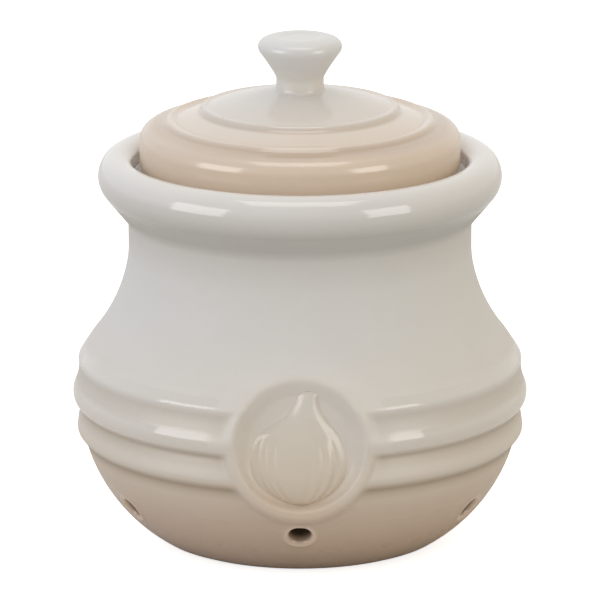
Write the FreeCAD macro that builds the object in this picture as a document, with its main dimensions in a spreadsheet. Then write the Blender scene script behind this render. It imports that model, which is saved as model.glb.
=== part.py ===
"""Garlic keeper: a round stoneware jar with air vents, a garlic medallion and a lift-off lid.

Millimetres and degrees, +Z up, origin at the centre of the foot, medallion facing -Y.
Two fired pieces come apart: the jar with the garlic relief luted into its medallion, and
the lid with the knob luted onto its crown. Every length is in the sheet "sizes".
"""
import FreeCAD
import Part
import os
import re
import Sketcher
from FreeCAD import Placement, Rotation, Vector

# name, value, what it is
SIZES = [
    # jar, outside, from the foot up
    ("foot_radius", 39.4, "outer radius of the ring that the jar stands on"),
    ("foot_ring_width", 6.0, "width of the standing ring"),
    ("foot_recess", 1.5, "how far the underside is hollowed inside the ring"),
    ("belly_radius", 65.2, "largest radius, at the crest of the upper band"),
    ("belly_height", 43.6, "height of that crest"),
    ("vent_height", 14.9, "height at which the vent axes meet the outer wall"),
    ("vent_inset", 9.8, "outer wall's radius at that height, below belly_radius"),
    ("low_groove_drop", 15.4, "groove under the lower band, below belly_height"),
    ("low_groove_inset", 3.7, "radius there below belly_radius"),
    ("low_band_drop", 9.0, "crest of the lower band, below belly_height"),
    ("low_band_inset", 1.1, "radius there below belly_radius"),
    ("mid_groove_drop", 5.1, "groove between the bands, below belly_height"),
    ("mid_groove_inset", 2.4, "radius there below belly_radius"),
    ("upper_band_rise", 3.6, "top of the upper band's round, above belly_height"),
    ("upper_band_inset", 1.5, "radius there below belly_radius"),
    ("top_groove_rise", 6.4, "shallow groove over the upper band, above belly_height"),
    ("top_groove_inset", 1.8, "radius there below belly_radius"),
    ("shoulder_edge_rise", 8.9, "crisp lower edge of the shoulder, above belly_height"),
    ("shoulder_edge_inset", 1.5, "radius there below belly_radius"),
    ("shoulder_rise", 15.0, "end of the straight shoulder, where the wall turns hollow, above belly_height"),
    ("shoulder_inset", 5.6, "radius there below belly_radius"),
    ("shoulder_slope", 39.8, "angle of the wall's outward normal above level, there"),
    ("waist_rise_share", 0.449, "middle of the hollow sweep, as a share of its height"),
    ("waist_flare_share", 0.353, "radius there beyond the neck, as a share of the shoulder's"),
    ("waist_slope", 24.0, "angle of the wall's outward normal above level, there"),
    ("neck_radius", 49.0, "outer radius of the neck"),
    ("neck_low_drop", 22.8, "foot of the straight neck below the ledge"),
    ("neck_high_drop", 13.4, "top of the straight neck below the ledge"),
    # rim and ledge
    ("ledge_height", 106.0, "level of the ledge that the lid rests on"),
    ("rim_crease_drop", 5.5, "edge under the roll of the rim, below the ledge"),
    ("rim_crease_flare", 6.5, "radius there beyond the neck"),
    ("rim_wide_drop", 0.6, "widest circle of the rim below the ledge"),
    ("rim_flare", 8.6, "radius there beyond the neck"),
    ("rim_brow_rise", 3.8, "end of the rim's side, start of its top roll, above the ledge"),
    ("rim_brow_flare", 7.3, "radius there beyond the neck"),
    ("rim_rise", 6.0, "top of the rim above the ledge"),
    ("rim_top_flare", 3.1, "radius of the rim's highest circle beyond the neck"),
    ("rim_lip_rise", 3.4, "lower end of the roll on the inside, above the ledge"),
    ("mouth_inset", 1.5, "radius of the mouth above the ledge, below the neck's"),
    # jar, inside
    ("wall", 6.0, "wall measured square to the surface"),
    ("band_wall", 7.0, "wall through the crest of the upper band"),
    ("floor_wall", 7.0, "height of the floor inside"),
    ("floor_inset", 0.9, "radius of the flat floor inside, below foot_radius"),
    ("cheek_drop", 2.6, "widest circle inside, below belly_height"),
    ("cheek_round_rise", 4.9, "middle of the round above it, above belly_height"),
    ("cheek_round_inset", 0.6, "radius there below the widest"),
    # vents
    ("vent_radius", 3.15, "radius of each vent"),
    ("vent_tilt", 31.0, "how far each vent points down, going outward"),
    ("vent_lip", 1.2, "radius of the round at the mouth of each vent"),
    ("vent_count", 6, "vents, evenly spaced, the first under the medallion"),
    # medallion
    ("medallion_drop", 1.9, "medallion's centre below belly_height"),
    ("medallion_inset", 4.2, "distance of that centre behind the belly's front"),
    ("medallion_tilt", 8.0, "how far the medallion leans back"),
    ("medallion_radius", 19.0, "radius of the crest of the raised ring"),
    ("medallion_round", 3.0, "radius of the ring's half-round section, and so the dish's depth"),
    ("medallion_wall", 4.5, "wall behind the dish"),
    ("medallion_flare", 5.0, "width over which the bands are cut back beyond the ring"),
    # garlic relief
    ("bulb_margin", 0.9, "gap between either end of the bulb and the edge of the dish's flat"),
    ("bulb_width_share", 0.894, "width of the bulb as a share of its height"),
    ("bulb_relief", 5.0, "how far the bulb stands out of the dish"),
    ("bulb_centre_drop", 0.1, "bulb's middle below the medallion's centre"),
    # lid
    ("lid_gap", 2.3, "gap between the lid's flange and the mouth, all round"),
    ("lid_flare", 0.6, "ridge radius beyond the flange"),
    ("lid_ridge_rise", 4.8, "height of the ridge above the ledge"),
    ("lid_shoulder_rise", 9.9, "top of the lid's upright side above the ledge"),
    ("lid_brow_rise", 13.2, "middle of the lid's shoulder roll above the ledge"),
    ("lid_brow_inset", 2.4, "radius there below the ridge"),
    ("lid_outer_ring_inset", 8.2, "radius of the outer raised ring below the flange"),
    ("lid_outer_ring_rise", 15.7, "height of that ring's foot above the ledge"),
    ("lid_ring_spacing", 9.9, "from the outer raised ring in to the inner one"),
    ("lid_inner_ring_rise", 19.2, "height of that ring's foot above the ledge"),
    ("lid_ring_width", 1.6, "width of each raised ring"),
    ("lid_ring_height", 0.7, "height of each raised ring"),
    ("lid_dome_radius", 17.0, "radius of the middle of the inner dome"),
    ("lid_dome_rise", 22.3, "height there above the ledge"),
    ("lid_crown_rise", 24.2, "height of the flat crown above the ledge"),
    ("lid_wall", 5.5, "thickness of the lid"),
    ("spigot_clearance", 1.0, "gap between the locating ring and the neck"),
    ("spigot_depth", 7.5, "depth of the locating ring below the ledge"),
    ("spigot_wall", 3.6, "thickness of the locating ring"),
    # knob
    ("knob_radius", 12.0, "largest radius of the knob"),
    ("knob_rise", 15.8, "height of the knob above the crown"),
    ("knob_foot_radius", 8.0, "radius of the foot of the knob"),
    ("knob_foot_rise", 1.5, "height of the flare at the foot"),
    ("knob_stem_inset", 1.1, "radius of the stem below the foot's"),
    ("knob_stem_rise", 4.0, "top of the stem above the crown"),
    ("knob_waist_inset", 3.3, "middle of the flared side, below knob_radius"),
    ("knob_waist_rise", 7.3, "height there above the crown"),
    ("knob_cheek_inset", 0.6, "top of the flared side, below knob_radius"),
    ("knob_cheek_drop", 4.6, "height there below the knob's top"),
    ("knob_wide_drop", 2.8, "height of the widest circle below the knob's top"),
    ("knob_brow_inset", 1.9, "edge between the knob's side and its top, below knob_radius"),
    ("knob_brow_drop", 0.6, "height there below the knob's top"),
    ("knob_top_inset", 4.8, "knob's highest circle, below knob_radius"),
    ("knob_dish_radius", 4.6, "radius of the flat of the dished top"),
    ("knob_dish", 0.4, "depth of the dished top"),
]

# The garlic bulb's level sections: height, half width and relief, each as a share of
# half the bulb's height, half its width and its whole relief.
BULB_SECTIONS = [
    (-1.00, 0.33, 0.34),
    (-0.80, 0.70, 0.72),
    (-0.52, 0.93, 0.94),
    (-0.15, 1.00, 1.00),
    (0.22, 0.86, 0.90),
    (0.50, 0.58, 0.72),
    (0.74, 0.27, 0.50),
    (1.00, 0.17, 0.36),
]
CLOVE_ANGLES = [180, 146, 112, 68, 34, 0]   # the creases between cloves, round each section
CLOVE_BULGE_RATIO = 1.07                   # the crown of a clove beyond its creases

QUARTER_SHARE = 0.2929   # how far the middle of a quarter round lies in from its corner

ALIASES = {name for name, value, note in SIZES}

# places that more than one piece or feature is measured from
VENT_REACH = "belly_radius - vent_inset"
MOUTH = "neck_radius - mouth_inset"
BORE = "neck_radius - wall"
CROWN = "ledge_height + lid_crown_rise"


def bound(text):
    """The expression with every size name pointing into the sheet."""
    return re.sub(r"[a-z_]{3,}", lambda word: f"sizes.{word[0]}" if word[0] in ALIASES else word[0], text)


def make_sheet(doc):
    """The size table, one named value a row."""
    sheet = doc.addObject("Spreadsheet::Sheet", "sizes")
    for row, (name, value, note) in enumerate(SIZES, start=1):
        sheet.set(f"A{row}", str(value))
        sheet.setAlias(f"A{row}", name)
        sheet.set(f"B{row}", note)
    doc.recompute()
    return sheet


def size(doc, text):
    """The value of an expression of sizes."""
    return float(doc.sizes.evalExpression(bound(text)))


def origin_plane(body, role):
    """One of the body's own origin planes or axes."""
    return next(item for item in body.Origin.OriginFeatures if item.Role == role)


def make_sketch(body, name, role, offset=Placement()):
    """An empty sketch on one of the body's origin planes."""
    sketch = body.newObject("Sketcher::SketchObject", name)
    sketch.AttachmentSupport = [(origin_plane(body, role), "")]
    sketch.MapMode = "FlatFace"
    sketch.AttachmentOffset = offset
    return sketch


def hold(sketch, geometry, end, across, up):
    """Fix a point of the sketch by two dimensions bound to the size table."""
    for kind, text in (("DistanceX", across), ("DistanceY", up)):
        value = size(sketch.Document, text)
        index = sketch.addConstraint(Sketcher.Constraint(kind, -1, 1, geometry, end, value))
        sketch.setExpression(f"Constraints[{index}]", bound(text))


def draw(sketch, steps):
    """Draw a closed outline of lines and three-point arcs.

    A step is (across, up) for a line to that point, or (mid across, mid up, across, up)
    for an arc through a middle point. The first step is only the starting point.
    """
    def at(across, up):
        return Vector(size(sketch.Document, across), size(sketch.Document, up), 0)

    here = at(*steps[0])
    ends = []
    for step in steps[1:] + [steps[0][-2:]]:
        there = at(*step[-2:])
        if len(step) == 2:
            index = sketch.addGeometry(Part.LineSegment(here, there), False)
        else:
            index = sketch.addGeometry(Part.Arc(here, at(*step[:2]), there), False)
            middle = sketch.addGeometry(Part.Point(at(*step[:2])), True)
            hold(sketch, middle, 1, *step[:2])
            sketch.addConstraint(Sketcher.Constraint("PointOnObject", middle, 1, index))
        start, end = sketch.getPoint(index, 1), sketch.getPoint(index, 2)
        first, last = (1, 2) if start.distanceToPoint(here) < end.distanceToPoint(here) else (2, 1)
        if ends:
            sketch.addConstraint(Sketcher.Constraint("Coincident", *ends[-1][2:], index, first))
        ends.append((index, first, index, last))
        hold(sketch, index, last, *step[-2:])
        here = there
    sketch.addConstraint(Sketcher.Constraint("Coincident", *ends[-1][2:], *ends[0][:2]))


def draw_axis(sketch, start, end):
    """A construction line for the sketch to be turned about."""
    points = [Vector(size(sketch.Document, x), size(sketch.Document, y), 0) for x, y in (start, end)]
    index = sketch.addGeometry(Part.LineSegment(*points), True)
    hold(sketch, index, 1, *start)
    hold(sketch, index, 2, *end)


def turn(body, kind, name, sketch, axis="V_Axis"):
    """Revolve or groove a sketch the whole way round one of its axes."""
    feature = body.newObject(f"PartDesign::{kind}", name)
    feature.Profile = sketch
    feature.ReferenceAxis = (sketch, [axis])
    feature.Angle = 360
    body.Document.recompute()
    return feature


def leaning(across, up, angle, along, aside):
    """The point that lies along and aside of a direction at an angle above level."""
    return (f"{across} + ({along}) * cos({angle}) - ({aside}) * sin({angle})",
            f"{up} + ({along}) * sin({angle}) + ({aside}) * cos({angle})")


def vent_point(along, aside):
    """A point measured from where a vent's axis meets the outer wall."""
    return leaning(VENT_REACH, "vent_height", "-vent_tilt", along, aside)


def medallion_point(along, aside):
    """A point measured from the medallion's centre, in the plane of its ring's crest."""
    return leaning("belly_radius - medallion_inset", "belly_height - medallion_drop", "medallion_tilt",
                   along, aside)


def front_sketch(body, name):
    """A sketch on the plane of symmetry whose first axis points to the front, -Y."""
    return make_sketch(body, name, "YZ_Plane", Placement(Vector(), Rotation(Vector(0, 1, 0), 180)))


def make_jar(doc):
    """The jar: wall, floor, ledge and rim in one turned section, then medallion and vents."""
    body = doc.addObject("PartDesign::Body", "jar")
    foot_inside = "foot_radius - foot_ring_width"
    shoulder = "belly_radius - shoulder_inset", "belly_height + shoulder_rise"
    neck_low, neck_high = "ledge_height - neck_low_drop", "ledge_height - neck_high_drop"
    waist = (f"neck_radius + waist_flare_share * ({shoulder[0]} - neck_radius)",
             f"{shoulder[1]} + waist_rise_share * ({neck_low} - ({shoulder[1]}))")
    cheek = "belly_radius - band_wall", "belly_height - cheek_drop"

    def inside(point, slope):
        """The inner face's point behind a point of the outer face, square to the wall."""
        return f"{point[0]} - wall * cos({slope})", f"{point[1]} - wall * sin({slope})"

    section = make_sketch(body, "jar_section", "XZ_Plane")
    draw(section, [
        ("0", "foot_recess"),
        (f"{foot_inside} - foot_recess", "foot_recess"),
        (foot_inside, "0"),
        ("foot_radius", "0"),
        (VENT_REACH, "vent_height", "belly_radius - low_groove_inset", "belly_height - low_groove_drop"),
        ("belly_radius - low_band_inset", "belly_height - low_band_drop",
         "belly_radius - mid_groove_inset", "belly_height - mid_groove_drop"),
        ("belly_radius", "belly_height",
         "belly_radius - upper_band_inset", "belly_height + upper_band_rise"),
        ("belly_radius - top_groove_inset", "belly_height + top_groove_rise",
         "belly_radius - shoulder_edge_inset", "belly_height + shoulder_edge_rise"),
        shoulder,
        (*waist, "neck_radius", neck_low),
        ("neck_radius", neck_high),
        ("neck_radius + rim_crease_flare", "ledge_height - rim_crease_drop"),
        ("neck_radius + rim_flare", "ledge_height - rim_wide_drop",
         "neck_radius + rim_brow_flare", "ledge_height + rim_brow_rise"),
        ("neck_radius + rim_top_flare", "ledge_height + rim_rise", MOUTH, "ledge_height + rim_lip_rise"),
        (MOUTH, "ledge_height"),
        (BORE, "ledge_height"),
        (BORE, neck_low),
        (*inside(waist, "waist_slope"), *inside(shoulder, "shoulder_slope")),
        (f"{cheek[0]} - cheek_round_inset", "belly_height + cheek_round_rise", *cheek),
        (*inside((VENT_REACH, "vent_height"), "-vent_tilt"), "foot_radius - floor_inset", "floor_wall"),
        ("0", "floor_wall"),
    ])
    turn(body, "Revolution", "jar_wall", section)

    back = "-medallion_round - medallion_wall"
    floor_edge = "medallion_radius - medallion_round"
    coin_edge = "medallion_radius + medallion_round"
    coin = front_sketch(body, "medallion_section")
    draw(coin, [
        medallion_point(back, "0"),
        medallion_point(back, floor_edge),
        medallion_point("-2 * medallion_round", coin_edge),
        medallion_point("-medallion_round", coin_edge),
        (*medallion_point(f"-{QUARTER_SHARE} * medallion_round",
                          f"{coin_edge} - {QUARTER_SHARE} * medallion_round"),
         *medallion_point("0", "medallion_radius")),
        medallion_point("0", "0"),
    ])
    draw_axis(coin, medallion_point(back, "0"), medallion_point("0", "0"))
    turn(body, "Revolution", "medallion_coin", coin, "Axis0")

    dish = front_sketch(body, "dish_section")
    draw(dish, [
        medallion_point("-medallion_round", "0"),
        medallion_point("-medallion_round", floor_edge),
        (*medallion_point(f"-{QUARTER_SHARE} * medallion_round",
                          f"{floor_edge} + {QUARTER_SHARE} * medallion_round"),
         *medallion_point("0", "medallion_radius")),
        medallion_point("0.3 * medallion_flare", "medallion_radius + medallion_flare"),
        medallion_point("2 * medallion_flare", "medallion_radius + medallion_flare"),
        medallion_point("2 * medallion_flare", "0"),
    ])
    draw_axis(dish, medallion_point("-medallion_round", "0"), medallion_point("0", "0"))
    turn(body, "Groove", "medallion_dish", dish, "Axis0")

    vent = front_sketch(body, "vent_section")
    draw(vent, [
        vent_point("-2 * wall", "0"),
        vent_point("-2 * wall", "vent_radius"),
        vent_point("-vent_lip", "vent_radius"),
        (*vent_point(f"-{QUARTER_SHARE} * vent_lip", f"vent_radius + {QUARTER_SHARE} * vent_lip"),
         *vent_point("0", "vent_radius + vent_lip")),
        vent_point("wall", "vent_radius + vent_lip"),
        vent_point("wall", "0"),
    ])
    draw_axis(vent, vent_point("-2 * wall", "0"), vent_point("wall", "0"))
    first = turn(body, "Groove", "front_vent", vent, "Axis0")

    ring = body.newObject("PartDesign::PolarPattern", "vent_ring")
    ring.Originals = [first]
    ring.Axis = (origin_plane(body, "Z_Axis"), [""])
    ring.Angle = 360
    ring.setExpression("Occurrences", bound("vent_count"))
    body.Tip = ring
    return body


def make_garlic_relief(doc):
    """The garlic bulb: a lofted cushion of five cloves that closes to a stem at the top."""
    body = doc.addObject("PartDesign::Body", "garlic_relief")
    body.Placement = Placement(Vector(), Rotation(Vector(-1, 0, 0), size(doc, "medallion_tilt")))
    across, up = medallion_point("-medallion_round", "-bulb_centre_drop")
    body.setExpression("Placement.Base.y", bound(f"-({across})"))
    body.setExpression("Placement.Base.z", bound(up))
    body.setExpression("Placement.Rotation.Axis.x", "-1")
    body.setExpression("Placement.Rotation.Angle", bound("medallion_tilt"))

    half_height = "(medallion_radius - medallion_round - bulb_margin)"
    sections = []
    for number, (height, width, relief) in enumerate(BULB_SECTIONS):
        sketch = make_sketch(body, f"bulb_section_{number}", "XY_Plane")
        sketch.setExpression("AttachmentOffset.Base.z", bound(f"{height} * {half_height}"))

        def rim_point(angle, bulge=1.0):
            return (f"{bulge * width} * bulb_width_share * {half_height} * cos({angle})",
                    f"-{bulge * relief} * bulb_relief * sin({angle})")

        steps = [rim_point(CLOVE_ANGLES[0])]
        for start, end in zip(CLOVE_ANGLES, CLOVE_ANGLES[1:]):
            steps.append((*rim_point((start + end) / 2, CLOVE_BULGE_RATIO), *rim_point(end)))
        draw(sketch, steps)
        sections.append(sketch)
    doc.recompute()

    loft = body.newObject("PartDesign::AdditiveLoft", "bulb")
    loft.Profile = sections[0]
    loft.Sections = sections[1:]
    loft.Ruled = False
    return body


def make_lid(doc):
    """The lid: a domed cap with two raised rings, a flange on the ledge and a locating ring."""
    body = doc.addObject("PartDesign::Body", "lid")
    flange = f"{MOUTH} - lid_gap"
    side = f"{flange} + lid_flare"
    spigot = f"{BORE} - spigot_clearance"
    hollow = f"{spigot} - spigot_wall"
    outer_circle = f"{flange} - lid_outer_ring_inset"
    inner_circle = f"{outer_circle} - lid_ring_spacing"

    def raised_ring(radius, rise):
        """The steps over a raised ring, going outward from its inner foot."""
        foot = f"ledge_height + {rise}"
        return [
            (f"{radius} - lid_ring_width / 2", foot),
            (radius, f"{foot} + lid_ring_height", f"{radius} + lid_ring_width / 2", foot),
        ]

    inner_ring = raised_ring(inner_circle, "lid_inner_ring_rise")
    outer_ring = raised_ring(outer_circle, "lid_outer_ring_rise")
    section = make_sketch(body, "lid_section", "XZ_Plane")
    draw(section, [
        ("0", CROWN),
        ("knob_foot_radius", CROWN),
        ("lid_dome_radius", "ledge_height + lid_dome_rise", *inner_ring[0]),
        inner_ring[1],
        outer_ring[0],
        outer_ring[1],
        (f"{side} - lid_brow_inset", "ledge_height + lid_brow_rise",
         side, "ledge_height + lid_shoulder_rise"),
        (side, "ledge_height + lid_ridge_rise"),
        (flange, "ledge_height + lid_ridge_rise - lid_flare"),
        (flange, "ledge_height"),
        (spigot, "ledge_height"),
        (spigot, "ledge_height - spigot_depth"),
        (hollow, "ledge_height - spigot_depth"),
        (hollow, "ledge_height + lid_shoulder_rise - lid_wall"),
        (inner_circle, "ledge_height + lid_inner_ring_rise - lid_wall",
         "knob_foot_radius", f"{CROWN} - lid_wall"),
        ("0", f"{CROWN} - lid_wall"),
    ])
    turn(body, "Revolution", "lid_wall_turned", section)
    return body


def make_lid_knob(doc):
    """The knob: a waisted stem that flares to a round head with a dished top."""
    body = doc.addObject("PartDesign::Body", "lid_knob")
    top = f"{CROWN} + knob_rise"
    stem = "knob_foot_radius - knob_stem_inset"
    section = make_sketch(body, "knob_section", "XZ_Plane")
    draw(section, [
        ("0", CROWN),
        ("knob_foot_radius", CROWN),
        (f"{stem} + {QUARTER_SHARE} * knob_stem_inset", f"{CROWN} + {QUARTER_SHARE} * knob_foot_rise",
         stem, f"{CROWN} + knob_foot_rise"),
        (stem, f"{CROWN} + knob_stem_rise"),
        ("knob_radius - knob_waist_inset", f"{CROWN} + knob_waist_rise",
         "knob_radius - knob_cheek_inset", f"{top} - knob_cheek_drop"),
        ("knob_radius", f"{top} - knob_wide_drop",
         "knob_radius - knob_brow_inset", f"{top} - knob_brow_drop"),
        ("knob_radius - knob_top_inset", top, "knob_dish_radius", f"{top} - knob_dish"),
        ("0", f"{top} - knob_dish"),
    ])
    turn(body, "Revolution", "knob_turned", section)
    return body


def check(doc, bodies):
    """Stop if any object failed to compute or any piece is not one sound solid."""
    for item in doc.Objects:
        if {"Invalid", "Error"} & set(item.State):
            raise RuntimeError(f"{item.Name} failed: {item.State}")
    for body in bodies:
        shape = body.Shape
        if shape.isNull() or not shape.isValid() or len(shape.Solids) != 1:
            raise RuntimeError(f"{body.Label} is not one valid solid")


def main():
    doc = FreeCAD.newDocument("garlic_keeper")
    make_sheet(doc)
    bodies = [make_jar(doc), make_garlic_relief(doc), make_lid(doc), make_lid_knob(doc)]
    doc.recompute()
    check(doc, bodies)
    os.makedirs("parts", exist_ok=True)
    for body in bodies:
        body.Shape.exportStep(f"parts/{body.Label}.step")
        box = body.Shape.BoundBox
        print(f"{body.Label}: {body.Shape.Volume / 1000:.1f} cm3, z {box.ZMin:.2f} to {box.ZMax:.2f}")


main()
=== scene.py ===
"""Garlic keeper: the looks of a glazed stoneware jar with its garlic medallion, vents, lid and knob.

There is one piece for each CAD node. Shapes are worked out in millimetres and scaled where their mesh
is made. Glazes, stage and camera are in metres. Azimuths are 0 in front and positive to the right.
"""

import math
from collections import namedtuple

import bpy
import numpy as np
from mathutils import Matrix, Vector
from mathutils.bvhtree import BVHTree


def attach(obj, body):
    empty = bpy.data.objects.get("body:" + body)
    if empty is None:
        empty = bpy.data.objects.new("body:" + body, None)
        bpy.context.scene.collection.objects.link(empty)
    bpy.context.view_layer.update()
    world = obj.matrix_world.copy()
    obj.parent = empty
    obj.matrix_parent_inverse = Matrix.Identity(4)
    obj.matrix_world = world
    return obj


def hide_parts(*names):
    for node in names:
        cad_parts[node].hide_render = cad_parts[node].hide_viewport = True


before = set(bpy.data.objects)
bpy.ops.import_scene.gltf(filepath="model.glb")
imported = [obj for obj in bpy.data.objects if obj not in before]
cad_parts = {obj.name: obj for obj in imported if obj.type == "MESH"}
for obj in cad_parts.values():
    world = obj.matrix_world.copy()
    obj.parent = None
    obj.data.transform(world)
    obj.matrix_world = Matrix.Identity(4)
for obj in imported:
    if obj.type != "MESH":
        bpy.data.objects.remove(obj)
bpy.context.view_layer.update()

MM = 0.001
PATH_STEP = 0.1         # millimetres between a path's points, until it is resampled


# ---------------------------------------------------------------- paths of radius and height

def arc(start, middle, end):
    """Points along the circle through three points, the start left out."""
    (ax, ay), (bx, by), (cx, cy) = start, middle, end
    d = 2 * (ax * (by - cy) + bx * (cy - ay) + cx * (ay - by))
    ux = ((ax**2 + ay**2) * (by - cy) + (bx**2 + by**2) * (cy - ay) + (cx**2 + cy**2) * (ay - by)) / d
    uy = ((ax**2 + ay**2) * (cx - bx) + (bx**2 + by**2) * (ax - cx) + (cx**2 + cy**2) * (bx - ax)) / d
    radius = math.hypot(ax - ux, ay - uy)
    a0, a1, a2 = (math.atan2(y - uy, x - ux) for x, y in (start, middle, end))
    sweep = (a2 - a0) % (2 * math.pi)
    if (a1 - a0) % (2 * math.pi) > sweep:
        sweep -= 2 * math.pi
    count = max(2, math.ceil(abs(sweep) * radius / PATH_STEP))
    turns = [a0 + sweep * i / count for i in range(1, count + 1)]
    return [(ux + radius * math.cos(turn), uy + radius * math.sin(turn)) for turn in turns]


def line(start, end):
    """Points along a straight line, the start left out."""
    count = max(1, math.ceil(math.dist(start, end) / PATH_STEP))
    return [(start[0] + (end[0] - start[0]) * i / count, start[1] + (end[1] - start[1]) * i / count)
            for i in range(1, count + 1)]


def trace(start, steps):
    """Points along a path of lines (x, y) and three-point arcs (mx, my, x, y)."""
    points = [start]
    for step in steps:
        if len(step) == 4:
            points += arc(points[-1], step[:2], step[2:])
        else:
            points += line(points[-1], step)
    return np.array(points)


def lengths(points):
    """How far along the path each of its points is."""
    return np.r_[0, np.cumsum(np.hypot(*np.diff(points, axis=0).T))]


def at_lengths(points, along, at):
    """The path's points at the given lengths along it."""
    return np.c_[np.interp(at, along, points[:, 0]), np.interp(at, along, points[:, 1])]


def bell(half, sigma):
    """A bell curve of 2 half + 1 steps that adds up to 1, with sigma in steps."""
    curve = np.exp(-0.5 * (np.arange(-half, half + 1) / sigma) ** 2)
    return curve / curve.sum()


def soften(points, sigma):
    """The path with its corners rounded as glaze rounds them; its two ends stay where they are."""
    along = lengths(points)
    even = at_lengths(points, along, np.linspace(0, along[-1], int(along[-1] / PATH_STEP) + 1))
    half = int(4 * sigma / PATH_STEP)
    curve = bell(half, sigma / PATH_STEP)
    padded = np.r_[2 * even[0] - even[half:0:-1], even, 2 * even[-1] - even[-2:-half - 2:-1]]
    return np.stack([np.convolve(padded[:, i], curve, "valid") for i in (0, 1)], 1)


def resample(points, spacing):
    """The path with a spacing that spacing(radius, height, share along) gives at each place.

    Its two ends are set on the axis.
    """
    along = lengths(points)
    density = 1 / np.array([spacing(r, z, s / along[-1]) for (r, z), s in zip(points, along)])
    rows = np.r_[0, np.cumsum((density[1:] + density[:-1]) / 2 * np.diff(along))]
    at = np.interp(np.linspace(0, rows[-1], round(rows[-1]) + 1), rows, along)
    points = at_lengths(points, along, at)
    points[0, 0] = points[-1, 0] = 0
    return points


# ---------------------------------------------------------------- turned meshes

def azimuths(coarse, centres=()):
    """Angles once round the axis, finer near each (centre, half width, step) in degrees."""
    angles, at = [], -180.0
    while at < 180 - 1e-6:
        angles.append(at)
        step = coarse
        for centre, half, near in centres:
            if abs((at - centre + 180) % 360 - 180) < half:
                step = min(step, near)
        at += step
    return np.radians(angles)


def lathe(points, angles):
    """Vertices, wall faces and end faces of a turned body whose path starts and ends on the axis."""
    rings = points[1:-1]
    rows, columns = len(rings), len(angles)
    radius, height = rings[:, :1], rings[:, 1:]
    wall = np.stack([radius * np.sin(angles), -radius * np.cos(angles),
                     np.broadcast_to(height, (rows, columns))], -1)
    verts = np.r_[wall.reshape(-1, 3), [[0, 0, points[0, 1]], [0, 0, points[-1, 1]]]]
    grid = np.arange(rows * columns).reshape(rows, columns)
    after = np.roll(grid, -1, 1)
    quads = np.stack([grid[:-1], after[:-1], after[1:], grid[1:]], -1).reshape(-1, 4)
    first, last = rows * columns, rows * columns + 1
    ends = [(first, b, a) for a, b in zip(grid[0], after[0])]
    ends += [(last, a, b) for a, b in zip(grid[-1], after[-1])]
    return verts, quads, ends


def piece(name, verts, faces, body, node):
    """A smooth-shaded mesh object that rides a body and stands for a CAD node."""
    mesh = bpy.data.meshes.new(name)
    mesh.from_pydata((np.asarray(verts) * MM).tolist(), [], [tuple(int(v) for v in f) for f in faces])
    mesh.polygons.foreach_set("use_smooth", [True] * len(mesh.polygons))
    mesh.validate()
    mesh.update()
    obj = bpy.data.objects.new(name, mesh)
    bpy.context.scene.collection.objects.link(obj)
    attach(obj, body)
    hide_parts(node)
    return obj


def smooth_max(a, b, blend):
    """The larger of two, with a fillet of about the blend's size where they cross."""
    share = np.clip(0.5 + 0.5 * (a - b) / blend, 0, 1)
    return b + (a - b) * share + blend * share * (1 - share)


def smooth_min(a, b, blend):
    """The smaller of two, with a fillet where they cross."""
    return -smooth_max(-a, -b, blend)


def smooth_step(start, end, x):
    """A soft step from 0 at the start to 1 at the end, which may be the smaller of the two."""
    t = np.clip((x - start) / (end - start), 0, 1)
    return t * t * (3 - 2 * t)


# ---------------------------------------------------------------- the jar's wall

OUTSIDE = trace((0, 1.5), [
    (31.9, 1.5), (33.4, 0), (39.4, 0),                                          # base and foot ring
    (55.4, 14.9, 61.6, 28.4),                                                   # belly
    (61.9, 29.1), (63.9, 31.3), (64.05, 32.2), (63.3, 37.0), (62.7, 38.5),      # lower band
    (64.5, 40.1), (65.15, 42.2, 64.3, 45.5),                                    # upper band
    (63.75, 47.5), (63.4, 50.0, 63.65, 52.5),                                   # hollow over it
    (59.6, 58.6), (52.74, 69.64, 49.0, 83.2),                                   # shoulder
    (49.0, 92.6), (55.5, 100.5),                                                # neck
    (57.6, 105.4, 56.3, 109.8), (52.1, 112.0, 47.5, 109.4), (47.5, 106.0),      # rolled rim and mouth
])
INSIDE = trace((47.5, 106.0), [
    (43.0, 106.0), (43.0, 83.2),                                                # ledge and bore
    (47.26, 67.2, 54.99, 54.76), (57.6, 48.5, 58.2, 41.0), (50.26, 17.99, 38.5, 7.0), (0, 7.0),
])
OUTSIDE_SOFT, INSIDE_SOFT = 0.55, 0.9       # how far glaze rounds the corners

# distances between the wall's rows
FINE_ROWS, RIM_ROWS, COARSE_ROWS = 0.5, 0.8, 2.6

# degrees between the wall's columns, which are finer within reach of the front and of each vent
COARSE_TURN, FRONT_TURN, FRONT_REACH, VENT_TURN, VENT_TURN_REACH = 2.0, 0.5, 25, 1.0, 8.0


def jar_spacing(radius, height, share):
    """Distance between the wall's rows: fine on the belly and inside at the vents.

    The share is 0 at the middle of the base and 1 at the middle of the floor inside.
    """
    on_belly = share < 0.55 and 6 < height < 62 and radius > 42
    at_inner_vents = share > 0.6 and 9 < height < 27
    if on_belly or at_inner_vents:
        return FINE_ROWS
    return RIM_ROWS if height > 92 else COARSE_ROWS


# ---------------------------------------------------------------- the medallion

MEDALLION_CENTRE = np.array([0.0, -61.0, 41.7])
LEAN = math.radians(8.0)
MEDALLION_OUT = np.array([0.0, -math.cos(LEAN), math.sin(LEAN)])
MEDALLION_UP = np.array([0.0, math.sin(LEAN), math.cos(LEAN)])
PRESS_END = (24.0, 28.0)                    # distances over which the pressing dies out

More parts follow.
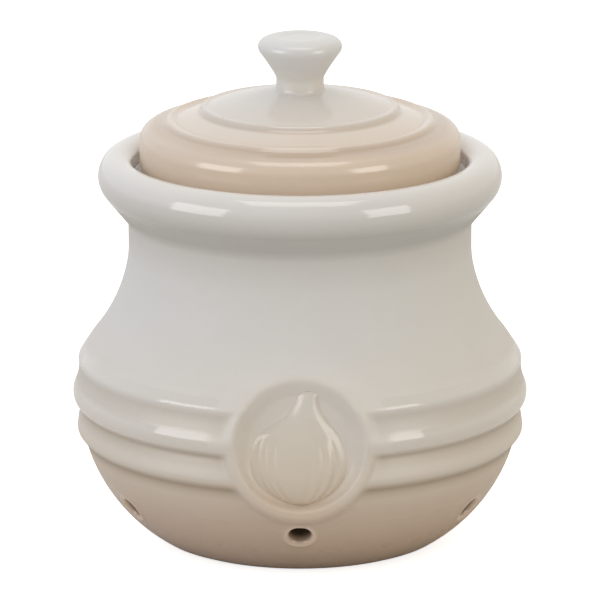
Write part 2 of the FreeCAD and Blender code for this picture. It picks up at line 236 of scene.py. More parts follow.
# heights and radii of the belly with its grooves filled level
BARE_WALL = np.array([
    (10.0, 50.6), (14.9, 55.4), (20.0, 58.7), (25.0, 61.1), (29.0, 62.6), (34.6, 64.1), (39.0, 64.9),
    (43.6, 65.2), (47.2, 64.8), (50.0, 64.4), (52.5, 63.7), (58.6, 59.6), (62.0, 57.2),
])
FILL_END = (18.6, 22.0)                     # distances over which the filled grooves open again
FILL_TOP = 56.0                             # height up to which there are grooves to fill

RING, RING_TOP = 19.0, 0.1                  # radius, and level of its top
RING_FLAT, RING_CURVE = 0.6, 0.75           # half the width of its flat top, and how its sides fall away
RING_SINKS, RING_SINK_SPAN = 3.0, (-6.0, 9.0)       # how it sinks into the wall on its way up
RING_BLEND = 1.1                            # fillet between ring and wall

DISH, DISH_RISE, DISH_EDGE = 3.0, 1.0, 18.45        # depth, its centre over the ring's, edge's radius
DISH_FLAT, DISH_FLAT_BELOW = 13.4, 2.6      # radius of its flat, and how much wider it is at the bottom
DISH_BELOW_SPAN = (2.0, -9.0)               # heights over which that comes in, downwards
DISH_BOWL, DISH_BOWL_BELOW = 1.5, 0.2       # exponent of the rise from flat to edge, and more at the bottom
DISH_EDGE_SHARE, DISH_RISE_END = 0.93, 1.6  # share of the rise at the edge, and where the rise stops
DISH_OVER = 0.35                            # how far over the wall the rise aims
DISH_REACH, DISH_BLEND = 2.5, 0.8           # how far past the ring's radius the dish counts, and its fillet


def from_medallion(wall):
    """Distances of the wall's vertices across, up and out from the medallion's centre."""
    place = wall - MEDALLION_CENTRE
    return place[:, 0], place @ MEDALLION_UP, place @ MEDALLION_OUT


def fill_grooves(wall):
    """Brings the wall beside the medallion out to its bare shape, so that the grooves end there."""
    x, y, z = wall.T
    across, up, _ = from_medallion(wall)
    radius = np.hypot(x, y)
    full = np.where(z < FILL_TOP, np.maximum(np.interp(z, *BARE_WALL.T), radius), radius)
    share = np.where(y < 0, 1 - smooth_step(*FILL_END, np.hypot(across, up)), 0)
    wall[:, :2] *= ((radius + share * (full - radius)) / radius)[:, None]


def ring_level(distance, up):
    """Level of the medallion's ring, nearly flat on top."""
    fall = np.clip(np.abs(distance - RING) - RING_FLAT, 0, None) ** 2
    return RING_TOP - RING_CURVE * fall - RING_SINKS * smooth_step(*RING_SINK_SPAN, up)


def dish_level(across, up, wall_level):
    """Level of the dish, which is wider and steeper below and rises to the wall at its edge."""
    below = smooth_step(*DISH_BELOW_SPAN, up)
    flat = DISH_FLAT + DISH_FLAT_BELOW * below
    rise = (DISH_EDGE - flat) / DISH_EDGE_SHARE
    t = np.clip((np.hypot(across, up - DISH_RISE) - flat) / rise, 0, DISH_RISE_END)
    return -DISH + (wall_level + DISH + DISH_OVER) * t ** (DISH_BOWL + DISH_BOWL_BELOW * below)


def press_medallion(wall):
    """Fills the grooves beside the medallion, raises its ring and hollows its dish, all in place."""
    fill_grooves(wall)
    across, up, out = from_medallion(wall)
    distance = np.hypot(across, up)
    raised = smooth_max(out, ring_level(distance, up), RING_BLEND)
    hollowed = smooth_min(raised, dish_level(across, up, raised), DISH_BLEND)
    target = np.where(distance < RING + DISH_REACH, hollowed, raised)
    share = np.where(wall[:, 1] < 0, 1 - smooth_step(*PRESS_END, distance), 0)
    wall += ((target - out) * share)[:, None] * MEDALLION_OUT


# ---------------------------------------------------------------- the vents

VENT_COUNT = 6
VENT_HEIGHT, VENT_REACH, VENT_TILT = 14.6, 55.2, math.radians(31.0)
VENT_RADIUS = 3.15
PATCH_HALF, PATCH_ROWS = 7.0, 13        # half the width of a vent's patch, and its rows to each side
PATCH_CROWD = 1.15                      # above 1, the patch's rings crowd towards the hole
LIFT_SPAN = (6.0, 4.6)                  # distances from the axis over which the lip rises
RAY_START, RAY_LENGTH = 14, 30          # rays that find the wall: where they start, and their length

# The wall's outer side has out 1 and its inner has -1. depth is how far behind the outer side it lies,
# rounding the radius of the hole's edge, rings and turns the steps up to that edge and round it, and
# lift how far the lip stands proud.
Side = namedtuple("Side", "out depth rounding rings turns lift")
OUTER = Side(out=1, depth=0.0, rounding=1.2, rings=8, turns=7, lift=0.3)
INNER = Side(out=-1, depth=6.0, rounding=0.5, rings=5, turns=3, lift=0.0)


class Vent:
    """One air vent: its azimuth, its place on the outer wall and its own directions."""

    def __init__(self, azimuth):
        level = np.array([math.sin(azimuth), -math.cos(azimuth), 0])
        self.azimuth = azimuth
        self.place = level * VENT_REACH + np.array([0, 0, VENT_HEIGHT])
        self.axis = level * math.cos(VENT_TILT) - np.array([0, 0, math.sin(VENT_TILT)])
        self.side = np.array([math.cos(azimuth), math.sin(azimuth), 0])
        self.up = np.cross(self.side, -self.axis)

    def at(self, beside, above, out):
        """The point at these distances from the vent's place, along its own directions."""
        return self.place + self.side * beside + self.up * above + self.axis * out


def patch_columns(angles, vent):
    """The wall's columns in the vent's patch, in order from one side to the other."""
    off = (angles - vent.azimuth + math.pi) % (2 * math.pi) - math.pi
    columns = np.flatnonzero(np.abs(off) < PATCH_HALF / VENT_REACH)
    if np.diff(columns).max() > 1:
        gap = int(np.diff(columns).argmax()) + 1
        columns = np.r_[columns[gap:], columns[:gap]]
    return columns


def patch_rows(rings, vent, side, top):
    """The wall's rows in the vent's patch, on the outer or the inner side of the rim's top row."""
    middle = vent.place - vent.axis * side.depth
    off = np.hypot(rings[:, 0] - math.hypot(middle[0], middle[1]), rings[:, 1] - middle[2])
    nearest = int(off[:top].argmin()) if side is OUTER else top + int(off[top:].argmin())
    return np.arange(nearest - PATCH_ROWS, nearest + PATCH_ROWS + 1)


def patch_border(verts, rows, columns, width, vent):
    """The vertices round a patch in order of angle, and how far beside and above the axis they are."""
    border = [(rows[0], c) for c in columns] + [(r, columns[-1]) for r in rows[1:-1]]
    border += [(rows[-1], c) for c in columns[::-1]] + [(r, columns[0]) for r in rows[-2:0:-1]]
    numbers = [int(r * width + c) for r, c in border]
    flat = np.array([((verts[k] - vent.place) @ vent.side, (verts[k] - vent.place) @ vent.up)
                     for k in numbers])
    order = np.argsort(np.arctan2(flat[:, 1], flat[:, 0]))
    return [numbers[k] for k in order], flat[order]


def add_ring(verts, ring):
    """Appends a ring of vertices and gives their numbers."""
    verts.extend(ring)
    return list(range(len(verts) - len(ring), len(verts)))


def on_wall(tree, vent, side, beside, above):
    """The wall's point that lies there along the vent's axis, lifted where the lip is."""
    start = vent.at(beside, above, RAY_START * side.out)
    hit = tree.ray_cast(Vector(start), Vector(-vent.axis * side.out), RAY_LENGTH)[0]
    return np.array(hit) + vent.axis * side.lift * smooth_step(*LIFT_SPAN, math.hypot(beside, above))


def hole_rings(verts, tree, vent, side, border, flat):
    """Rings of vertices from the patch's border to the hole and round its edge into the bore."""
    turn = np.arctan2(flat[:, 1], flat[:, 0])
    circle = np.c_[np.cos(turn), np.sin(turn)]
    rings = [border]
    for t in 1 - (1 - np.linspace(0, 1, side.rings + 1)[1:]) ** PATCH_CROWD:
        here = flat * (1 - t) + circle * (VENT_RADIUS + side.rounding) * t
        rings.append(add_ring(verts, [on_wall(tree, vent, side, x, y) for x, y in here]))
    levels = [(verts[k] - vent.place) @ vent.axis for k in rings[-1]]
    for q in np.linspace(0, math.pi / 2, side.turns + 1)[1:]:
        radius = VENT_RADIUS + side.rounding * (1 - math.sin(q))
        sunk = side.out * side.rounding * (1 - math.cos(q))
        rings.append(add_ring(verts, [vent.at(x * radius, y * radius, level - sunk)
                                      for (x, y), level in zip(circle, levels)]))
    return rings


def bridge(rings):
    """Faces between each ring of vertex numbers and the next."""
    faces = []
    for one, two in zip(rings, rings[1:]):
        faces += zip(one, one[1:] + one[:1], two[1:] + two[:1], two)
    return faces


def open_vents(verts, quads, rings, angles, top):
    """Cuts a patch round each vent out of both sides of the wall and fills it up to a bored hole."""
    verts = list(verts)
    width = len(angles)
    tree = BVHTree.FromPolygons([Vector(v) for v in verts], quads.tolist())
    keep = np.ones((len(rings) - 1, width), bool)
    faces = []
    for number in range(VENT_COUNT):
        vent = Vent(2 * math.pi / VENT_COUNT * number)
        columns = patch_columns(angles, vent)
        paths = []
        for side in (OUTER, INNER):
            rows = patch_rows(rings, vent, side, top)
            keep[np.ix_(rows[:-1], columns[:-1])] = False
            border, flat = patch_border(verts, rows, columns, width, vent)
            paths.append(hole_rings(verts, tree, vent, side, border, flat))
        faces += bridge(paths[0] + paths[1][::-1])
    return verts, quads[keep.ravel()].tolist() + faces


def drop_loose(verts, faces):
    """Only the vertices that faces use, renumbered."""
    used = sorted({int(i) for face in faces for i in face})
    number = {old: new for new, old in enumerate(used)}
    return [verts[i] for i in used], [tuple(number[int(i)] for i in face) for face in faces]


def make_jar():
    """The jar, turned from one closed path, then pressed and bored."""
    path = np.r_[soften(OUTSIDE, OUTSIDE_SOFT)[:-1], soften(INSIDE, INSIDE_SOFT)]
    points = resample(path, jar_spacing)
    vents = [(360 / VENT_COUNT * number, VENT_TURN_REACH, VENT_TURN) for number in range(1, VENT_COUNT)]
    angles = azimuths(COARSE_TURN, [(0, FRONT_REACH, FRONT_TURN)] + vents)
    verts, quads, ends = lathe(points, angles)
    rings = points[1:-1]
    top = int(rings[:, 1].argmax())
    press_medallion(verts[:top * len(angles)])
    verts, faces = open_vents(verts, quads, rings, angles, top)
    verts, faces = drop_loose(verts, faces + ends)
    return piece("jar_shell", verts, faces, "jar_body", "jar")


jar = make_jar()


# ---------------------------------------------------------------- the garlic bulb

# height over the medallion's centre, left edge, right edge and share of the whole relief
BULB = np.array([
    (-16.0, -3.0, 3.4, 0.30), (-15.2, -5.6, 5.8, 0.52), (-13.8, -8.4, 8.3, 0.72),
    (-12.1, -10.9, 10.4, 0.85), (-10.1, -12.7, 12.0, 0.93), (-7.3, -13.8, 13.1, 0.99),
    (-4.5, -14.1, 13.3, 1.00), (-1.7, -13.9, 12.9, 0.99), (0.6, -13.5, 12.2, 0.95),
    (2.5, -12.6, 11.5, 0.90), (4.2, -11.2, 10.7, 0.84), (5.3, -9.8, 9.9, 0.79),
    (6.8, -7.4, 8.7, 0.72), (8.2, -5.2, 7.5, 0.65), (9.6, -3.4, 6.4, 0.60),
    (11.5, -2.1, 5.6, 0.56), (13.2, -1.3, 5.4, 0.53), (15.0, -0.9, 5.6, 0.48), (15.8, 0.2, 4.9, 0.36),
])
BULB_ROWS, BULB_COLUMNS = 150, 120
BULB_SOFT, BULB_SOFT_REACH = 3.0, 8         # how many rows its outline is softened over, and at most
RELIEF, FALL_LEFT, FALL_RIGHT = 3.1, 2.0, 2.6       # height, and exponents of its fall to the sides
SEAT, BACK = 0.1, 0.8                       # depth of the bulb's edge and back under the dish's flat

# the creases between its cloves: place across the bulb from -1 to 1, and depth
CREASES = [(-0.84, 0.50), (-0.70, 0.28), (-0.52, 0.42), (0.24, 0.26), (0.52, 0.34), (0.76, 0.50)]
CREASE_WIDTH, CREASE_DOME = 0.045, 1.5      # half their width, and the dome's height that they need
CREASE_HEIGHTS, CREASE_SHARES = (-16, -13.5, -8, -2, 3), (0, 0.7, 1, 0.8, 0)    # how they fade by height


def bulb_measure(heights, column):
    """A column of the bulb's table at the given heights, softened."""
    measure = np.interp(heights, BULB[:, 0], BULB[:, column])
    padded = np.pad(measure, BULB_SOFT_REACH, "edge")
    return np.convolve(padded, bell(BULB_SOFT_REACH, BULB_SOFT), "valid")[:, None]


def bulb_front():
    """The bulb's front from below upwards, as points across, up and out from the medallion's centre."""
    low, high = BULB[0, 0], BULB[-1, 0]
    heights = low + (high - low) * (1 - np.cos(np.linspace(0, math.pi, BULB_ROWS))) / 2
    left, right, swell = (bulb_measure(heights, column) for column in (1, 2, 3))
    across = np.sin(np.linspace(-math.pi / 2, math.pi / 2, BULB_COLUMNS))
    dome = RELIEF * swell * (1 - np.abs(across) ** np.where(across < 0, FALL_LEFT, FALL_RIGHT))
    cut = sum(depth * np.exp(-0.5 * ((across - at) / CREASE_WIDTH) ** 2) for at, depth in CREASES)
    cut = cut * np.interp(heights, CREASE_HEIGHTS, CREASE_SHARES)[:, None]
    cut = cut * np.clip(dome / CREASE_DOME, 0, 1)
    out = np.clip(dome - cut, 0, None) - DISH - SEAT
    beside = (left + right) / 2 + (right - left) / 2 * across
    return np.stack([beside, np.broadcast_to(heights[:, None], beside.shape), out], -1).reshape(-1, 3)


def make_bulb():
    """The bulb: a pressed relief of cloves that narrow to a short stem, closed by a flat back."""
    front = bulb_front()
    back = front * [1, 1, 0] - [0, 0, DISH + BACK]
    verts = MEDALLION_CENTRE + np.r_[front, back] @ np.array([[1, 0, 0], MEDALLION_UP, MEDALLION_OUT])
    grid = np.arange(len(front)).reshape(BULB_ROWS, BULB_COLUMNS)
    quads = np.stack([grid[:-1, :-1], grid[:-1, 1:], grid[1:, 1:], grid[1:, :-1]], -1).reshape(-1, 4)
    faces = quads.tolist() + (quads[:, ::-1] + len(front)).tolist()
    edge = np.r_[grid[0], grid[1:, -1], grid[-1, -2::-1], grid[-2:0:-1, 0]]
    after = np.roll(edge, -1)
    faces += np.stack([after, edge, edge + len(front), after + len(front)], -1).tolist()
    return piece("garlic_bulb", verts, faces, "jar_body", "garlic_relief")


bulb = make_bulb()


# ---------------------------------------------------------------- lid and knob

LID = trace((0, 124.7), [
    (8.0, 124.7), (27.1, 119.7, 38.4, 110.4),                                       # underside
    (38.4, 98.5), (42.0, 98.5), (42.0, 106.0),                                      # locating ring
    (45.2, 106.0), (45.2, 108.2), (45.7, 109.0), (45.7, 115.0),                     # flange
    (44.9, 118.5, 42.0, 120.3), (39.6, 120.7),                                      # shoulder
    (38.8, 120.8), (38.0, 121.7), (37.1, 122.45, 36.2, 121.9), (35.4, 121.8),       # outer ring
    (29.2, 124.1), (28.4, 124.5), (27.9, 125.4), (27.2, 126.1, 26.4, 125.6),        # inner ring
    (25.4, 126.0), (17.0, 128.5, 8.0, 130.2), (0, 130.2),                           # crown
])
KNOB = trace((0, 129.8), [
    (8.6, 129.8), (8.2, 130.1), (7.15, 130.3, 6.8, 131.1), (6.75, 134.2),           # foot and waist
    (8.7, 137.5, 11.4, 141.4), (12.0, 143.2, 10.1, 145.4),                          # flare
    (7.2, 146.0, 4.6, 145.6), (0, 145.6),                                           # dished top
])
LID_SOFT, KNOB_SOFT = 0.4, 0.45                             # how far glaze rounds the corners
LID_ROWS, LID_UNDER_ROWS, KNOB_ROWS = 0.4, 1.2, 0.3         # distances between rows
LID_TURN = 1.25                                             # degrees between columns


def lid_spacing(radius, height, share):
    """Distance between the lid's rows: fine on its top, coarse on its underside."""
    return LID_ROWS if height > 105 and share > 0.35 else LID_UNDER_ROWS


def knob_spacing(radius, height, share):
    """Distance between the knob's rows, the same everywhere."""
    return KNOB_ROWS


def turned(name, points, body, node):
    """A piece of the lid's body, turned from its path."""
    verts, quads, ends = lathe(points, azimuths(LID_TURN))
    return piece(name, verts, quads.tolist() + ends, body, node)


lid_path = resample(soften(LID, LID_SOFT), lid_spacing)
knob_path = resample(soften(KNOB, KNOB_SOFT), knob_spacing)
lid = turned("lid_shell", lid_path, "lid_body", "lid")
knob = turned("knob_turned", knob_path, "lid_body", "lid_knob")


# ---------------------------------------------------------------- the glazes' tables

# Each table goes by height in metres, but the lid's ring table by distance from the axis. Colours are as the
# screen shows them, 0 to 255. The tables of the jar's grooves and of the lid's rings are painted shade: the
# share of the colour kept in the grooves, in the troughs beside the lid's rings and under the rim, where
# shade falls.
PLAIN = (255, 255, 255)
# the jar's own glaze, beige below and white above, with painted light on the rim's top (0.112)
JAR_COLOURS = [
    (0.000, (193, 170, 150)), (0.012, (202, 180, 160)), (0.024, (211, 195, 179)),
    (0.034, (221, 213, 203)), (0.046, (223, 219, 213)), (0.056, (224, 221, 217)),
    (0.070, (225, 224, 223)), (0.103, (225, 224, 222)), (0.1075, (225, 223, 222)), (0.112, (231, 230, 229)),
]
JAR_ROUGHNESS = [
    (0.000, 0.34), (0.016, 0.22), (0.026, 0.45), (0.0392, 0.45), (0.0404, 0.07), (0.0450, 0.07),
    (0.0461, 0.45), (0.0515, 0.45), (0.0525, 0.10), (0.0545, 0.10), (0.0575, 0.75), (0.0960, 0.75),
    (0.1015, 0.08), (0.1120, 0.08),
]
JAR_PAINTED_SHADE = [
    (0.0255, PLAIN), (0.0272, (242, 238, 233)), (0.0283, (222, 215, 206)), (0.0290, (205, 197, 187)),
    (0.0301, (236, 231, 225)), (0.0311, PLAIN),                                 # painted shade under the lower band
    (0.0345, PLAIN), (0.0372, (241, 237, 232)),
    (0.0386, (220, 213, 204)), (0.0404, PLAIN),                                 # painted shade between the bands
    (0.0440, PLAIN), (0.0462, (244, 242, 239)),
    (0.0503, (238, 235, 231)), (0.0522, PLAIN),                                 # painted shade over the upper band
    (0.0830, PLAIN), (0.0920, (243, 242, 240)), (0.0955, (218, 217, 214)), (0.1003, (217, 216, 213)),
    (0.1020, (228, 227, 224)), (0.1045, (242, 241, 239)), (0.1080, PLAIN),      # painted shade under the rim
]
BULB_COLOURS = [
    (0.020, (210, 192, 172)), (0.034, (219, 208, 193)), (0.046, (221, 214, 203)), (0.060, (223, 219, 213)),
]
BULB_ROUGHNESS = [
    (0.0370, 0.38), (0.0435, 0.13), (0.0475, 0.13), (0.0515, 0.34), (0.0560, 0.15), (0.0600, 0.15),
]
# the lid's and knob's own colours, beige at the flange and white at the crown, with painted shade in the
# trough at the shoulder (0.1203) and painted light on the knob's stem (0.1325 to 0.1360)
LID_COLOURS = [
    (0.105, (232, 213, 194)), (0.112, (230, 211, 191)), (0.117, (229, 211, 192)),
    (0.1203, (220, 205, 191)), (0.1218, (227, 214, 202)),
    (0.1245, (229, 220, 211)), (0.1262, (224, 218, 212)), (0.1305, (218, 216, 213)),
    (0.1325, (236, 232, 226)), (0.1360, (232, 229, 224)),
    (0.1390, (225, 224, 223)), (0.1460, (225, 226, 227)),
]
# painted shade in the troughs beside the lid's rings, by distance from the axis
LID_RING_SHADE = [
    (0.0276, PLAIN), (0.0286, (236, 230, 224)), (0.0296, PLAIN),
    (0.0345, PLAIN), (0.0353, (246, 243, 240)), (0.0362, PLAIN),
    (0.0376, PLAIN), (0.0387, (230, 223, 215)), (0.0415, (232, 226, 218)), (0.0440, PLAIN),
]
LID_ROUGHNESS = [(0.0, 0.15), (0.15, 0.15)]
KNOB_ROUGHNESS = [(0.0, 0.36), (0.15, 0.30)]

# noises of a tint: scale, detail, roughness, and how much of the tint they bring
BLOTCHES, BLOTCH_TINT = (70, 5, 0.62, 0.24), (0.84, 0.79, 0.72, 1.0)
SPECKS, SPECK_TINT = (520, 3, 0.6, 0.14), (0.86, 0.84, 0.80, 1.0)

# noises about zero: scale, detail and amount, for the colours' heights and for the roughness
WANDER, UNEVEN = (16, 2, 0.010), (240, 3, 0.04)

# noises of the bump: scale and detail, then how much of the fine one there is
RIPPLE, FINE_RIPPLE, FINE_AMOUNT = (150, 3), (900, 2), 0.12
BUMP_STRENGTH, BUMP_HEIGHT = 0.05, 0.0006
GLAZE_IOR = 1.5

# distances from the medallion's centre over which each of these comes in: the grooves' painted shade, the
# roughness and the medallion's tint
PAINTED_SHADE_SPAN, ROUGHNESS_SPAN, MEDALLION_TINT_SPAN = (0.0205, 0.0232), (0.0240, 0.0275), (0.0232, 0.0196)
MEDALLION_ROUGHNESS, MEDALLION_TINT = 0.5, (1.0, 0.985, 0.965, 1.0)

# distances from a vent's axis, and depths behind the wall, over which its bore and lip come in; the bore's
# tint is painted shade deep in the hole, and the lip's tint is painted light on its edge
BORE_RADII, BORE_DEPTHS, BORE_PAINTED_SHADE = (0.0043, 0.0036), (0.0010, 0.0036), (0.26, 0.23, 0.18, 1.0)
LIP_RADII, LIP_DEPTHS, LIP_PAINTED_LIGHT = (0.0050, 0.0042), (0.0012, 0.0002), (1.24, 1.26, 1.30, 1.0)
LIP_GLOSS = 0.75                                    # share of the roughness that the lip loses


# ---------------------------------------------------------------- the glazes' nodes

MIX_SHARE, MIX_FIRST, MIX_SECOND, MIX_RESULT = 0, 6, 7, 2       # a colour mix node's sockets by number


def add_node(tree, kind, inputs=None, **settings):
    """A node with its settings; each input takes a plain value or another node's output."""
    node = tree.nodes.new(kind)
    for name, value in settings.items():
        setattr(node, name, value)
    for socket, value in (inputs or {}).items():
        if isinstance(value, bpy.types.NodeSocket):
            tree.links.new(value, node.inputs[socket])
        else:
            node.inputs[socket].default_value = value
    return node


def linear(level):
    """A 0 to 255 screen value as linear light."""
    level /= 255
    return level / 12.92 if level <= 0.04045 else ((level + 0.055) / 1.055) ** 2.4


def ramp_colour(value):
    """A colour ramp's colour from a screen colour, or from one plain number."""
    if isinstance(value, tuple):
        return (*[linear(level) for level in value], 1)
    return (value, value, value, 1)


class Surface:
    """One material's nodes, which work in the object's own space."""

    def __init__(self, name):
        self.material = bpy.data.materials.new(name)
        self.material.use_nodes = True
        self.tree = self.material.node_tree
        self.tree.nodes.clear()
        self.place = add_node(self.tree, "ShaderNodeTexCoord").outputs["Object"]
        split = add_node(self.tree, "ShaderNodeSeparateXYZ", {0: self.place})
        self.across, self.depth, self.height = split.outputs

    def work(self, operation, *values):
        """One step of arithmetic."""
        inputs = dict(enumerate(values))
        return add_node(self.tree, "ShaderNodeMath", inputs, operation=operation).outputs[0]

    def times(self, a, b):
        """The product of two."""
        return self.work("MULTIPLY", a, b)

    def length(self, a, b):
        """Length of the long side over two short ones."""
        return self.work("SQRT", self.work("ADD", self.times(a, a), self.times(b, b)))

    def noise(self, scale, detail, roughness=0.5):
        """A noise from 0 to 1."""
        inputs = {"Vector": self.place, "Scale": scale, "Detail": detail, "Roughness": roughness}
        return add_node(self.tree, "ShaderNodeTexNoise", inputs).outputs["Fac"]

    def sway(self, scale, detail, amount):
        """A noise about zero."""
        return self.times(self.work("SUBTRACT", self.noise(scale, detail), 0.5), amount)

    def share(self, value, start, end):
        """0 up to the start and 1 from the end on, which may be the smaller of the two."""
        inputs = {"Value": value, "From Min": start, "From Max": end}
        return add_node(self.tree, "ShaderNodeMapRange", inputs).outputs["Result"]

    def ramp(self, value, stops):
        """A colour ramp over a value, from the first stop to the last."""
        low, high = stops[0][0], stops[-1][0]
        node = add_node(self.tree, "ShaderNodeValToRGB", {"Fac": self.share(value, low, high)})
        elements = node.color_ramp.elements
        elements[0].color, elements[1].color = ramp_colour(stops[0][1]), ramp_colour(stops[-1][1])
        for at, stop in stops[1:-1]:
            elements.new((at - low) / (high - low)).color = ramp_colour(stop)
        return node.outputs["Color"]

    def tint(self, amount, colour, by):
        """The colour times another, by an amount from 0 to 1."""
        inputs = {MIX_SHARE: amount, MIX_FIRST: colour, MIX_SECOND: by}
        node = add_node(self.tree, "ShaderNodeMix", inputs, data_type="RGBA", blend_type="MULTIPLY")
        return node.outputs[MIX_RESULT]

    def mottle(self, colour, scale, detail, roughness, amount, by):
        """The colour with a noise of a tint over it."""
        return self.tint(self.times(self.noise(scale, detail, roughness), amount), colour, by)


def lid_trough_shade(surface, colour, rough):
    """Painted shade in the troughs beside the lid's rings."""
    reach = surface.length(surface.across, surface.depth)
    return surface.tint(1.0, colour, surface.ramp(reach, LID_RING_SHADE)), rough


def jar_painted_light_and_gloss(surface, colour, rough):
    """Painted shade in the jar's grooves and under its rim, fading out at the medallion; a tint and a
    roughness of its own in the medallion; painted shade in the vents' bores and painted light on their lips,
    which are also glossier.
    """
    points = {0: surface.place, 1: tuple(MEDALLION_CENTRE * MM)}
    away = add_node(surface.tree, "ShaderNodeVectorMath", points, operation="DISTANCE").outputs["Value"]
    # painted shade in the grooves and under the rim, which fades out at the medallion
    painted_shade = surface.ramp(surface.height, JAR_PAINTED_SHADE)
    colour = surface.tint(surface.share(away, *PAINTED_SHADE_SPAN), colour, painted_shade)
    colour = surface.tint(surface.share(away, *MEDALLION_TINT_SPAN), colour, MEDALLION_TINT)
    beyond = surface.times(surface.share(away, *ROUGHNESS_SPAN),
                           surface.work("SUBTRACT", rough, MEDALLION_ROUGHNESS))
    rough = surface.work("ADD", MEDALLION_ROUGHNESS, beyond)
    bore, lip = vent_masks(surface)
    # painted light on the vents' lips, and painted shade deep in their bores
    colour = surface.tint(lip, colour, LIP_PAINTED_LIGHT)
    colour = surface.tint(bore, colour, BORE_PAINTED_SHADE)
    return colour, surface.times(rough, surface.work("SUBTRACT", 1.0, surface.times(lip, LIP_GLOSS)))


def vent_masks(surface):
    """Where the vents' bores and lips are, with the azimuth folded so that one vent stands for all."""
    work, times, share = surface.work, surface.times, surface.share
    half_gap = math.pi / VENT_COUNT
    reach = surface.length(surface.across, surface.depth)
    fold = work("WRAP", work("ARCTAN2", surface.across, times(surface.depth, -1)), half_gap, -half_gap)
    beside = times(reach, work("SINE", fold))
    out = work("SUBTRACT", times(reach, work("COSINE", fold)), VENT_REACH * MM)
    over = work("SUBTRACT", surface.height, VENT_HEIGHT * MM)
    deep = work("SUBTRACT", times(over, math.sin(VENT_TILT)), times(out, math.cos(VENT_TILT)))
    above = work("ADD", times(over, math.cos(VENT_TILT)), times(out, math.sin(VENT_TILT)))
    radius = surface.length(beside, above)
    bore = times(share(radius, *BORE_RADII), share(deep, *BORE_DEPTHS))
    lip = times(share(radius, *LIP_RADII), share(deep, *LIP_DEPTHS))
    return bore, lip


def glaze(name, colours, roughness, mirror, dressing=None):
    """A stoneware glaze from its tables of colour and roughness and its specular level.

    A dressing changes the colour, with painted shade and painted light, and the roughness further, by place.
    """
    surface = Surface(name)
    colour = surface.ramp(surface.work("ADD", surface.height, surface.sway(*WANDER)), colours)
    colour = surface.mottle(colour, *BLOTCHES, BLOTCH_TINT)
    colour = surface.mottle(colour, *SPECKS, SPECK_TINT)
    rough = surface.ramp(surface.height, roughness)
    if dressing:
        colour, rough = dressing(surface, colour, rough)
    fine = surface.times(surface.noise(*FINE_RIPPLE), FINE_AMOUNT)
    bump = add_node(surface.tree, "ShaderNodeBump", {
        "Strength": BUMP_STRENGTH,
        "Distance": BUMP_HEIGHT,
        "Height": surface.work("ADD", surface.noise(*RIPPLE), fine),
    })
    shader = add_node(surface.tree, "ShaderNodeBsdfPrincipled", {
        "Base Color": colour,
        "Roughness": surface.work("ADD", rough, surface.sway(*UNEVEN)),
        "IOR": GLAZE_IOR,
        "Specular IOR Level": mirror,
        "Normal": bump.outputs["Normal"],
    })
    add_node(surface.tree, "ShaderNodeOutputMaterial", {"Surface": shader.outputs["BSDF"]})
    return surface.material


jar.data.materials.append(glaze("glaze_jar", JAR_COLOURS, JAR_ROUGHNESS, mirror=0.42, dressing=jar_painted_light_and_gloss))
bulb.data.materials.append(glaze("glaze_bulb", BULB_COLOURS, BULB_ROUGHNESS, mirror=0.36))
lid.data.materials.append(glaze("glaze_lid", LID_COLOURS, LID_ROUGHNESS, mirror=0.50, dressing=lid_trough_shade))
knob.data.materials.append(glaze("glaze_knob", LID_COLOURS, KNOB_ROUGHNESS, mirror=0.50))


# ---------------------------------------------------------------- stage, light and camera

FLOOR_HALF, FLOOR_GREY, FLOOR_GLOW = 3, 0.82, 0.78      # half its side, its grey, its glow to the camera
WORLD_LEVEL, WORLD_OVERHEAD = 0.50, 0.62                # strength at the horizon, and more at the zenith
COOL_LEFT, WARM_RIGHT = (1.09, 1.115, 1.18, 1), (0.94, 0.85, 0.68, 1)
WORLD_SIDES = (-0.7, 0.8)                               # x over which the cool tint turns into the warm

# name, azimuth, elevation, distance, width, height and radiance of each lamp
SOFTBOXES = [
    ("softbox_left", -59.5, 14, 1.6, 0.95, 0.9, 4.5),
    ("softbox_right", 50.8, 14, 1.6, 0.73, 0.9, 4.5),
    ("softbox_top", 0, 77, 1.5, 1.1, 0.8, 3.0),
]
SOFTBOX_AIM = Vector((0, 0, 0.08))
CAMERA_PLACE, CAMERA_AIM = Vector((0, -1.8295, 0.5485)), Vector((0, 0, 0.0686))
CAMERA_LENS, CAMERA_SENSOR = 396.3, 36.0


def place_object(name, data, place, aim):
    """A lamp or camera at a place, turned to its aim."""
    obj = bpy.data.objects.new(name, data)
    obj.location = place
    obj.rotation_mode = "QUATERNION"
    obj.rotation_quaternion = (aim - place).to_track_quat("-Z", "Y")
    bpy.context.scene.collection.objects.link(obj)
    return obj


def floor_material():
    """Plain grey under the lamps, and near white to the camera, so that it keeps the shadow."""
    material = bpy.data.materials.new("floor_white")
    material.use_nodes = True
    tree = material.node_tree
    tree.nodes.clear()
    grey = add_node(tree, "ShaderNodeBsdfDiffuse", {"Color": (FLOOR_GREY, FLOOR_GREY, FLOOR_GREY, 1)})
    seen = add_node(tree, "ShaderNodeLightPath").outputs["Is Camera Ray"]
    strength = add_node(tree, "ShaderNodeMath", {0: seen, 1: FLOOR_GLOW}, operation="MULTIPLY")
    glow = add_node(tree, "ShaderNodeEmission", {"Strength": strength.outputs[0]})
    both = add_node(tree, "ShaderNodeAddShader", {0: grey.outputs[0], 1: glow.outputs[0]})
    add_node(tree, "ShaderNodeOutputMaterial", {"Surface": both.outputs[0]})
    return material


def make_floor():
    """The floor that the jar stands on."""
    mesh = bpy.data.meshes.new("floor")
    corners = [(-1, -1), (1, -1), (1, 1), (-1, 1)]
    mesh.from_pydata([(x * FLOOR_HALF, y * FLOOR_HALF, 0) for x, y in corners], [], [(0, 1, 2, 3)])
    mesh.materials.append(floor_material())
    obj = bpy.data.objects.new("floor", mesh)
    bpy.context.scene.collection.objects.link(obj)


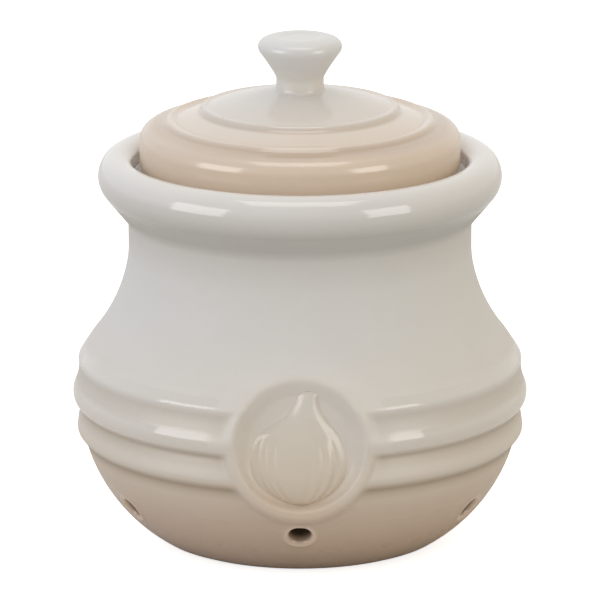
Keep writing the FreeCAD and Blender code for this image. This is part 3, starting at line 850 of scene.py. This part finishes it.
def make_world():
    """Soft light that grows towards the zenith and is warmer from the right, on a white ground."""
    world = bpy.data.worlds.new("studio")
    bpy.context.scene.world = world
    world.use_nodes = True
    tree = world.node_tree
    tree.nodes.clear()
    where = add_node(tree, "ShaderNodeTexCoord").outputs["Generated"]
    x, _, z = add_node(tree, "ShaderNodeSeparateXYZ", {0: where}).outputs
    levels = {"Value": z, "To Min": WORLD_LEVEL, "To Max": WORLD_LEVEL + WORLD_OVERHEAD}
    strength = add_node(tree, "ShaderNodeMapRange", levels).outputs["Result"]
    sides = {"Value": x, "From Min": WORLD_SIDES[0], "From Max": WORLD_SIDES[1]}
    side = add_node(tree, "ShaderNodeMapRange", sides).outputs["Result"]
    tints = {MIX_SHARE: side, MIX_FIRST: COOL_LEFT, MIX_SECOND: WARM_RIGHT}
    tint = add_node(tree, "ShaderNodeMix", tints, data_type="RGBA").outputs[MIX_RESULT]
    fill = add_node(tree, "ShaderNodeBackground", {"Color": tint, "Strength": strength})
    white = add_node(tree, "ShaderNodeBackground", {"Color": (1, 1, 1, 1)})
    path = add_node(tree, "ShaderNodeLightPath").outputs
    seen = path["Is Camera Ray"]
    for ray in ("Is Glossy Ray", "Is Transmission Ray"):
        seen = add_node(tree, "ShaderNodeMath", {0: seen, 1: path[ray]}, operation="MAXIMUM").outputs[0]
    mix = add_node(tree, "ShaderNodeMixShader", {0: seen, 1: fill.outputs[0], 2: white.outputs[0]})
    add_node(tree, "ShaderNodeOutputWorld", {"Surface": mix.outputs[0]})


def make_softbox(name, azimuth, elevation, distance, width, height, radiance):
    """A rectangular lamp that faces the jar and shows only as a reflection."""
    light = bpy.data.lights.new(name, "AREA")
    light.shape = "RECTANGLE"
    light.size, light.size_y = width, height
    light.energy = radiance * math.pi * width * height
    a, e = math.radians(azimuth), math.radians(elevation)
    away = Vector((math.sin(a) * math.cos(e), -math.cos(a) * math.cos(e), math.sin(e))) * distance
    place_object(name, light, SOFTBOX_AIM + away, SOFTBOX_AIM).visible_diffuse = False


def make_camera():
    """The camera at the photograph's viewing angle."""
    camera = bpy.data.cameras.new("camera")
    camera.lens, camera.sensor_width = CAMERA_LENS, CAMERA_SENSOR
    camera.clip_start, camera.clip_end = 0.1, 20
    bpy.context.scene.camera = place_object("camera", camera, CAMERA_PLACE, CAMERA_AIM)


make_floor()
make_world()
for softbox in SOFTBOXES:
    make_softbox(*softbox)
make_camera()
bpy.context.scene.view_settings.view_transform = "Standard"
